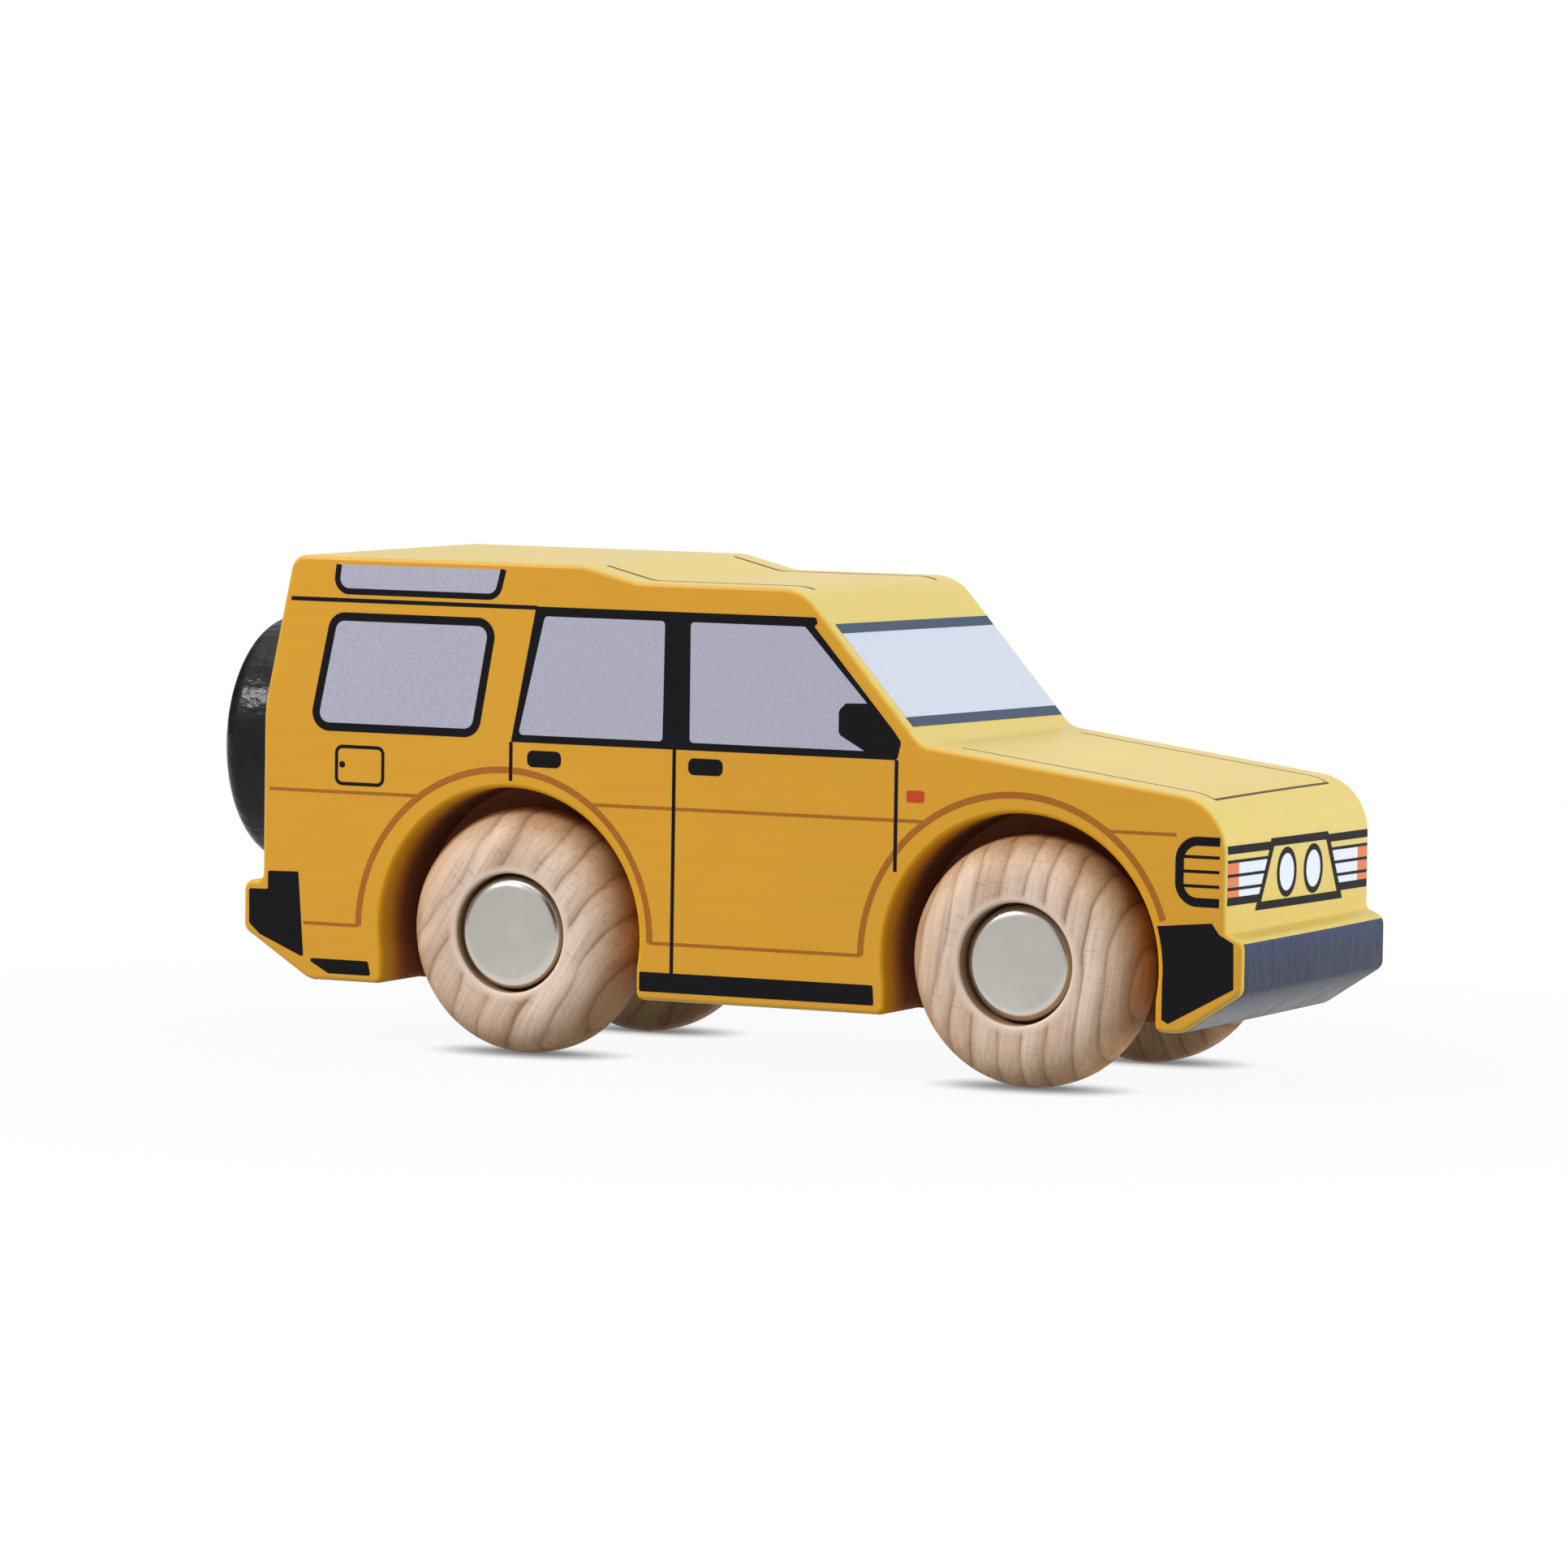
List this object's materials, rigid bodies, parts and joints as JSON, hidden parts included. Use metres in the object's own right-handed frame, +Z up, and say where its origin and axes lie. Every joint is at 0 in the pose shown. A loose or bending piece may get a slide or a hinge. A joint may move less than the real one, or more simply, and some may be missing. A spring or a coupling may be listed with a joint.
{
  "type": "wooden toy car",
  "caption": "Push-along wooden toy estate car: solid painted block body, turned beech wheels spinning freely on steel axles under domed hub caps, and a black spare wheel on its back.",
  "frame": {"origin": "on the floor, under the middle of the overall length and width, with the car standing on its wheels", "axes": "+X towards the front of the car, +Y towards its left side, +Z up"},
  "size_m": [0.141, 0.0468, 0.06],
  "materials": {
    "body_paint": "satin yellow paint on wood",
    "spare_paint": "gloss black paint on wood",
    "beech": "bare sanded beech",
    "dowel_wood": "bare beech dowel",
    "axle_steel": "drawn steel rod",
    "cap_nickel": "satin nickel plate",
    "nut_steel": "spring steel"
  },
  "bodies": {
    "car": {"body_block": "body_paint", "spare_wheel": "spare_paint", "spare_wheel_dowel": "dowel_wood", "front_axle": "axle_steel", "rear_axle": "axle_steel", "hub_cap_front_left": "cap_nickel", "hub_cap_front_right": "cap_nickel", "hub_cap_rear_left": "cap_nickel", "hub_cap_rear_right": "cap_nickel", "push_nut_front_left": "nut_steel", "push_nut_front_right": "nut_steel", "push_nut_rear_left": "nut_steel", "push_nut_rear_right": "nut_steel"},
    "front_left_wheel": {"wheel_front_left": "beech"},
    "front_right_wheel": {"wheel_front_right": "beech"},
    "rear_left_wheel": {"wheel_rear_left": "beech"},
    "rear_right_wheel": {"wheel_rear_right": "beech"}
  },
  "joints": [
    {"name": "front_left_spin", "type": "hinge", "parent": "car", "child": "front_left_wheel", "pos_m": [0.04192, 0.0184, 0.015], "axis": [0, 1, 0], "continuous": true},
    {"name": "front_right_spin", "type": "hinge", "parent": "car", "child": "front_right_wheel", "pos_m": [0.04192, -0.0184, 0.015], "axis": [0, 1, 0], "continuous": true},
    {"name": "rear_left_spin", "type": "hinge", "parent": "car", "child": "rear_left_wheel", "pos_m": [-0.02608, 0.0169, 0.015], "axis": [0, 1, 0], "continuous": true},
    {"name": "rear_right_spin", "type": "hinge", "parent": "car", "child": "rear_right_wheel", "pos_m": [-0.02608, -0.0169, 0.015], "axis": [0, 1, 0], "continuous": true}
  ]
}
